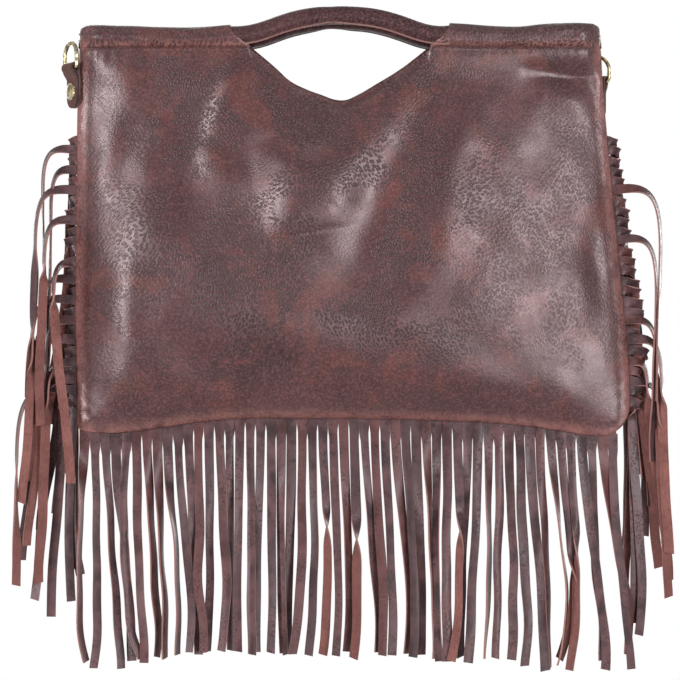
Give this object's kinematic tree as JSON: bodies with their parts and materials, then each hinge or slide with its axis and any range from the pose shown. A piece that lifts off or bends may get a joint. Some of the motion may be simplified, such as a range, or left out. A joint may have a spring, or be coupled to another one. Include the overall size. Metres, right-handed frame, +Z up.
{
  "type": "fringed leather handbag",
  "caption": "Soft leather handbag with a cut-out grip, a rolled handle in each folded top edge, hanging fringes along the sides and bottom, and a swinging D-ring at each end.",
  "frame": {"origin": "hold point midway between the handles, level with the underside of their arches in the middle of the grip", "axes": "+Z up, +X to the right and +Y to the back when the bag is seen from its front; the seam lies in the plane Y = 0"},
  "size_m": [0.4761, 0.0766, 0.478],
  "materials": {
    "panel_leather": "waxed grain leather, dark reddish brown, mottled",
    "handle_leather": "waxed grain leather, rolled",
    "fringe_leather": "grain leather with a suede reverse",
    "brass": "polished brass"
  },
  "bodies": {
    "bag": {"front_panel": "panel_leather", "back_panel": "panel_leather", "front_handle": "handle_leather", "back_handle": "handle_leather", "bottom_fringe": "fringe_leather", "left_side_fringe": "fringe_leather", "right_side_fringe": "fringe_leather", "left_ring_tab": "panel_leather", "right_ring_tab": "panel_leather", "left_tab_rivet": "brass", "right_tab_rivet": "brass"},
    "left_ring": {"left_d_ring": "brass"},
    "right_ring": {"right_d_ring": "brass"}
  },
  "joints": [
    {"name": "left_ring_swing", "type": "hinge", "parent": "bag", "child": "left_ring", "pos_m": [-0.19374, 0.00011, -0.0295], "axis": [0.5, -0.866, 0], "range_deg": [-3, 160]},
    {"name": "right_ring_swing", "type": "hinge", "parent": "bag", "child": "right_ring", "pos_m": [0.18542, 0.01047, -0.0385], "axis": [-0.866, 0.5, 0], "range_deg": [-3, 160]}
  ]
}
